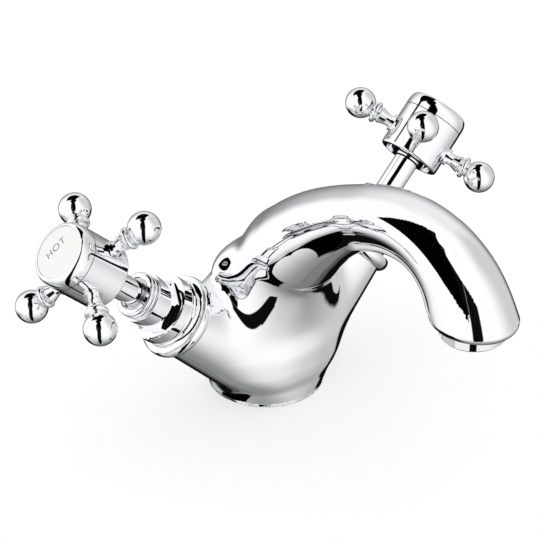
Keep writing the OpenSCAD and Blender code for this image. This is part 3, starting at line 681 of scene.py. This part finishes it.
def letters(side):
    """The word on a disc, as a mesh that follows the dome."""
    curve = bpy.data.curves.new(side + " word", "FONT")
    curve.body = side.upper()
    curve.size = LETTER_SIZE
    curve.align_x, curve.align_y = "CENTER", "CENTER"
    curve.space_character = LETTER_SPACING
    curve.offset = LETTER_THINNING
    flat = new_object("flat word", curve)
    mesh = applied(flat)
    bpy.data.objects.remove(flat)
    turn = Matrix.Rotation(LETTER_TURN[side], 3, "Z")
    for vertex in mesh.vertices:
        place = turn @ (vertex.co + Vector((0, LETTER_LIFT, 0)))
        place.z = disc_top(math.hypot(place.x, place.y)) + LETTER_RISE
        vertex.co = place * MM
    mesh.transform(on_arm(side))
    mesh.materials.clear()
    mesh.materials.append(finishes["ink"])
    word = new_object(side + "_word", mesh)
    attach(word, side + "_handle")
    return word


end_pieces = []
for side in ARM_AXES:
    end_pieces.append(spun_piece(side + "_cap_fine", cap_profile(), side, "chrome", side + "_cap"))
    end_pieces.append(spun_piece(side + "_index_fine", index_profile(), side, "porcelain",
                                 side + "_index"))
    end_pieces.append(letters(side))
print("end pieces:", ", ".join(o.name for o in end_pieces))

# %% [markdown]
# ## The studio
# Chrome has hardly a colour of its own: it shows the room. The room here has two large soft boxes,
# one on each side of the camera. They don't meet, and the dark gap between them draws the black
# bars and ribbons that make polished metal look like metal. Everything grows darker towards the
# floor and behind the tap on the right. The limits below were fitted to a single view, so this is
# a painted room that nobody could build, and it suits other views less well. The world paints it
# by direction, for mirror rays only. Plain surfaces are lit by an even white, and the camera sees
# a white backdrop.

# %% Studio directions, in degrees from the camera's side of the tap
LEFT_BOX_FROM, LEFT_BOX_TO = -101, -16
LEFT_BOX_TOP = 13
RIGHT_BOX_FROM = 11
GAP_FOOT = -68
RIGHT_DIMS_FROM, RIGHT_DIMS_TO = 50, 105
BACK_FROM = 128
BLACK_FROM, BLACK_LOW, BLACK_HIGH = 126, -62, -18
LEFT_BLACK_TO, LEFT_BLACK_LOW = -64, -80
EDGE = 2.5
WHITE, DIMMED, FLOOR_GREY, DARK = 1.08, 0.62, 0.27, 0.004
OVERHEAD_FADE = (45.0, 80.0)
FLOOR_FADE = (-88.0, -12.0)
LOWEST_FADE, LOWEST_SHARE = (-60.0, -72.0), 0.8
BACK_WIDTH = 22.0
BACK_FADE, BACK_LEVELS = (-20.0, 40.0), (0.2, 0.85)
LEFT_BLACK_DROPS, LEFT_BLACK_FADE = (-142.0, -125.0), (-44.0, -24.0)
BLACK_EDGE, WIDE_EDGE = 6.0, 8.0


def studio_direction(tree, way):
    """Azimuth and elevation of a direction. Azimuth 0 points at the camera, right is positive."""
    split = add_node(tree, "ShaderNodeSeparateXYZ", vector=way)
    x, y, z = split.outputs
    towards, right = (maths(tree, "ADD", maths(tree, "MULTIPLY", x, level.x),
                            maths(tree, "MULTIPLY", y, level.y))
                      for level in (TOWARDS_CAMERA, RIGHT_OF_CAMERA))
    azimuth = maths(tree, "DEGREES", maths(tree, "ARCTAN2", right, towards))
    elevation = maths(tree, "DEGREES", maths(tree, "ARCSINE", z))
    return azimuth, elevation


def window(tree, value, low, high, edge=EDGE):
    """1 between low and high, 0 outside, with soft edges."""
    rise = soft_step(tree, value, low, low + edge)
    fall = soft_step(tree, value, high - edge, high, 1.0, 0.0)
    return maths(tree, "MULTIPLY", rise, fall)


def without(tree, level, mask):
    return maths(tree, "MULTIPLY", level, maths(tree, "SUBTRACT", 1.0, mask))


def room_level(tree, azimuth, elevation):
    """The brightness of the room in every direction, before the gap between the boxes."""
    overhead = soft_step(tree, elevation, *OVERHEAD_FADE)
    level = soft_step(tree, elevation, *FLOOR_FADE, FLOOR_GREY, WHITE)
    away = maths(tree, "ABSOLUTE", azimuth)
    behind = without(tree, soft_step(tree, away, BACK_FROM, BACK_FROM + BACK_WIDTH), overhead)
    back_level = soft_step(tree, elevation, *BACK_FADE, *BACK_LEVELS)
    back_dark = maths(tree, "MULTIPLY", behind, maths(tree, "SUBTRACT", 1.0, back_level))
    level = without(tree, level, back_dark)
    dim = soft_step(tree, azimuth, RIGHT_DIMS_FROM, RIGHT_DIMS_TO)
    dim = maths(tree, "MULTIPLY", dim, 1 - DIMMED)
    level = without(tree, level, without(tree, without(tree, dim, behind), overhead))
    lowest = soft_step(tree, elevation, *LOWEST_FADE, 0.0, FLOOR_GREY * LOWEST_SHARE)
    level = maths(tree, "MAXIMUM", level, lowest)
    low_edge = soft_step(tree, azimuth, *LEFT_BLACK_DROPS, BLACK_LOW, LEFT_BLACK_LOW)
    above_edge = maths(tree, "SUBTRACT", elevation, low_edge)
    left_black = maths(
        tree, "MULTIPLY",
        soft_step(tree, azimuth, LEFT_BLACK_TO - BLACK_EDGE, LEFT_BLACK_TO, 1.0, 0.0),
        soft_step(tree, above_edge, 0.0, BLACK_EDGE))
    left_fade = soft_step(tree, elevation, *LEFT_BLACK_FADE, 1.0, 0.0)
    left_black = maths(tree, "MULTIPLY", left_black, left_fade)
    right_black = maths(tree, "MULTIPLY",
                        soft_step(tree, azimuth, BLACK_FROM, BLACK_FROM + WIDE_EDGE),
                        window(tree, elevation, BLACK_LOW, BLACK_HIGH, BLACK_EDGE))
    return without(tree, level, maths(tree, "MAXIMUM", left_black, right_black))


def paint_studio(tree):
    """The room with the gap between the boxes and the dark space above the left one."""
    way = tree.nodes.new("ShaderNodeTexCoord").outputs["Generated"]
    azimuth, elevation = studio_direction(tree, way)
    level = room_level(tree, azimuth, elevation)
    gap = maths(tree, "MULTIPLY", window(tree, azimuth, LEFT_BOX_TO, RIGHT_BOX_FROM),
                soft_step(tree, elevation, GAP_FOOT, GAP_FOOT + WIDE_EDGE))
    above = maths(tree, "MULTIPLY", window(tree, azimuth, LEFT_BOX_FROM, LEFT_BOX_TO + EDGE),
                  soft_step(tree, elevation, LEFT_BOX_TOP, LEFT_BOX_TOP + EDGE))
    for mask in (gap, above):
        level = without(tree, level, mask)
    return maths(tree, "MAXIMUM", level, DARK)


def make_world():
    world = bpy.data.worlds.new("studio")
    world.use_nodes = True
    tree = world.node_tree
    tree.nodes.clear()
    rays = tree.nodes.new("ShaderNodeLightPath").outputs
    mirror = maths(tree, "ADD", rays["Is Glossy Ray"], rays["Is Transmission Ray"], clamp=True)
    room = add_node(tree, "ShaderNodeBackground", color=PURE_WHITE, strength=paint_studio(tree))
    plain = add_node(tree, "ShaderNodeBackground", color=PURE_WHITE, strength=1.0)
    mix = tree.nodes.new("ShaderNodeMixShader")
    tree.links.new(mirror, mix.inputs[0])
    tree.links.new(plain.outputs[0], mix.inputs[1])
    tree.links.new(room.outputs[0], mix.inputs[2])
    output = tree.nodes.new("ShaderNodeOutputWorld")
    tree.links.new(mix.outputs[0], output.inputs["Surface"])
    bpy.context.scene.world = world


make_world()
bpy.context.scene.view_settings.view_transform = "Standard"

# %% [markdown]
# ## Cards
# A photographer sets cards for one part of a product and masks them for another. Here four curved
# cards hang far out, each a strip of directions between a lower and an upper elevation. Light
# linking says which pieces see a card lit. For all others it is a black flag. The handles get
# a taller left box and a low one. The casting gets a sheet under the gap, and an overhead sheet
# that ends in a slanting edge, which draws the wedge on the spout. A small black paper lies on the
# table in front of the casting.

# %% Cards
CARD_DISTANCE = 3.0
CARD_STEP, CARD_ROWS = 1.5, 24
CARD_OVERLAP = 1
TALL_BOX = ((LEFT_BOX_FROM, 13, 65), (-45, 13, 65), (-17, 13, 14))
LOW_LEFT_BOX = ((LEFT_BOX_FROM, -76, -34), (LEFT_BLACK_TO, -76, -34))
OVERHEAD = ((-180, 42, 90), (-105, 42, 90), (-103, 73, 90), (-86, 74, 90), (-51, 62, 90),
            (-37, 54, 90), (-22, 46, 90), (-10, 40, 90), (9, 29, 90), (12, 27, 90), (13, 80, 90),
            (150, 80, 90), (152, 42, 90), (180, 42, 90))
UNDER_GAP = ((LEFT_BOX_TO - CARD_OVERLAP, -90, -47), (RIGHT_BOX_FROM + CARD_OVERLAP, -90, -47))


def card_point(azimuth, elevation):
    """A point on the far sphere, in metres."""
    a, e = math.radians(azimuth), math.radians(elevation)
    level = TOWARDS_CAMERA * math.cos(a) + RIGHT_OF_CAMERA * math.sin(a)
    return (level * math.cos(e) + Vector((0, 0, math.sin(e)))) * CARD_DISTANCE


def card_material(level=None):
    """Glows at one level, or as the room does in the same direction."""
    material, tree, output = new_material("card")
    if level is None:
        unit = tree.nodes.new("ShaderNodeVectorMath")
        unit.operation = "NORMALIZE"
        tree.links.new(tree.nodes.new("ShaderNodeTexCoord").outputs["Object"], unit.inputs[0])
        level = room_level(tree, *studio_direction(tree, unit.outputs[0]))
    glow = add_node(tree, "ShaderNodeEmission", color=PURE_WHITE, strength=level)
    tree.links.new(glow.outputs[0], output.inputs["Surface"])
    return material


def make_card(name, outline, seen_by, material):
    """A strip of the sphere between the two elevations of an outline, lit for some pieces only."""
    azimuths, lows, highs = np.array(outline, float).T
    steps = np.arange(azimuths[0], azimuths[-1] + CARD_STEP, CARD_STEP).clip(None, azimuths[-1])
    bm = bmesh.new()
    columns = []
    for a in np.unique(np.concatenate((steps, azimuths))):
        low, high = np.interp(a, azimuths, lows), np.interp(a, azimuths, highs)
        elevations = np.linspace(low, high, CARD_ROWS)
        columns.append([bm.verts.new(card_point(a, e)) for e in elevations])
    for one, two in zip(columns, columns[1:]):
        for k in range(len(one) - 1):
            bm.faces.new((one[k], two[k], two[k + 1], one[k + 1]))
    mesh = mesh_from(bm, name)
    mesh.materials.append(material)
    card = new_object(name, mesh)
    card.visible_camera = card.visible_diffuse = card.visible_shadow = False
    pieces = bpy.data.collections.new(name + " sees")
    for piece in seen_by:
        pieces.objects.link(piece)
    card.light_linking.receiver_collection = pieces


FLOOR_FLAG = ((-57, -52), (-36, -52), (-37, -61), (-46, -76), (-57, -78))
FLOOR_FLAG_Z = 1.0


def make_floor_flag():
    """A black paper on the table in front of the casting, seen in mirrors only."""
    bm = bmesh.new()
    bm.faces.new([bm.verts.new((x * MM, y * MM, FLOOR_FLAG_Z * MM)) for x, y in FLOOR_FLAG])
    mesh = mesh_from(bm, "floor flag")
    mesh.materials.append(card_material(DARK))
    flag = new_object("floor flag", mesh)
    flag.visible_camera = flag.visible_diffuse = flag.visible_shadow = False


make_floor_flag()
card_finish = card_material()
fittings = [o for name, o in frame["nodes"].items() if name != "body"] + end_pieces
make_card("tall box", TALL_BOX, fittings, card_finish)
make_card("overhead", OVERHEAD, [body], card_finish)
make_card("under gap", UNDER_GAP, [body], card_finish)
make_card("low left box", LOW_LEFT_BOX, fittings, card_material(DIMMED))
print("cards lit for", len(fittings), "fittings and for the casting")

# %% [markdown]
# ## The table
# A white table that the camera sees as white paper, with the tap's soft shadow kept. Mirror rays
# pass it by, because the world already paints what is below.

# %% Table
FLOOR_SIZE = 4.0
TABLE_GREY = (0.55, 0.55, 0.55, 1)
TABLE_GLOW = 0.5


def make_floor():
    bm = bmesh.new()
    bmesh.ops.create_grid(bm, x_segments=2, y_segments=2, size=FLOOR_SIZE / 2)
    mesh = mesh_from(bm, "floor")
    floor = new_object("floor", mesh)
    material, tree, output = new_material("white_table")
    paint = add_node(tree, "ShaderNodeBsdfDiffuse", color=TABLE_GREY)
    glow = add_node(tree, "ShaderNodeEmission", color=PURE_WHITE, strength=TABLE_GLOW)
    add = tree.nodes.new("ShaderNodeAddShader")
    tree.links.new(paint.outputs[0], add.inputs[0])
    tree.links.new(glow.outputs[0], add.inputs[1])
    tree.links.new(add.outputs[0], output.inputs["Surface"])
    mesh.materials.append(material)
    floor.visible_glossy = False


make_floor()
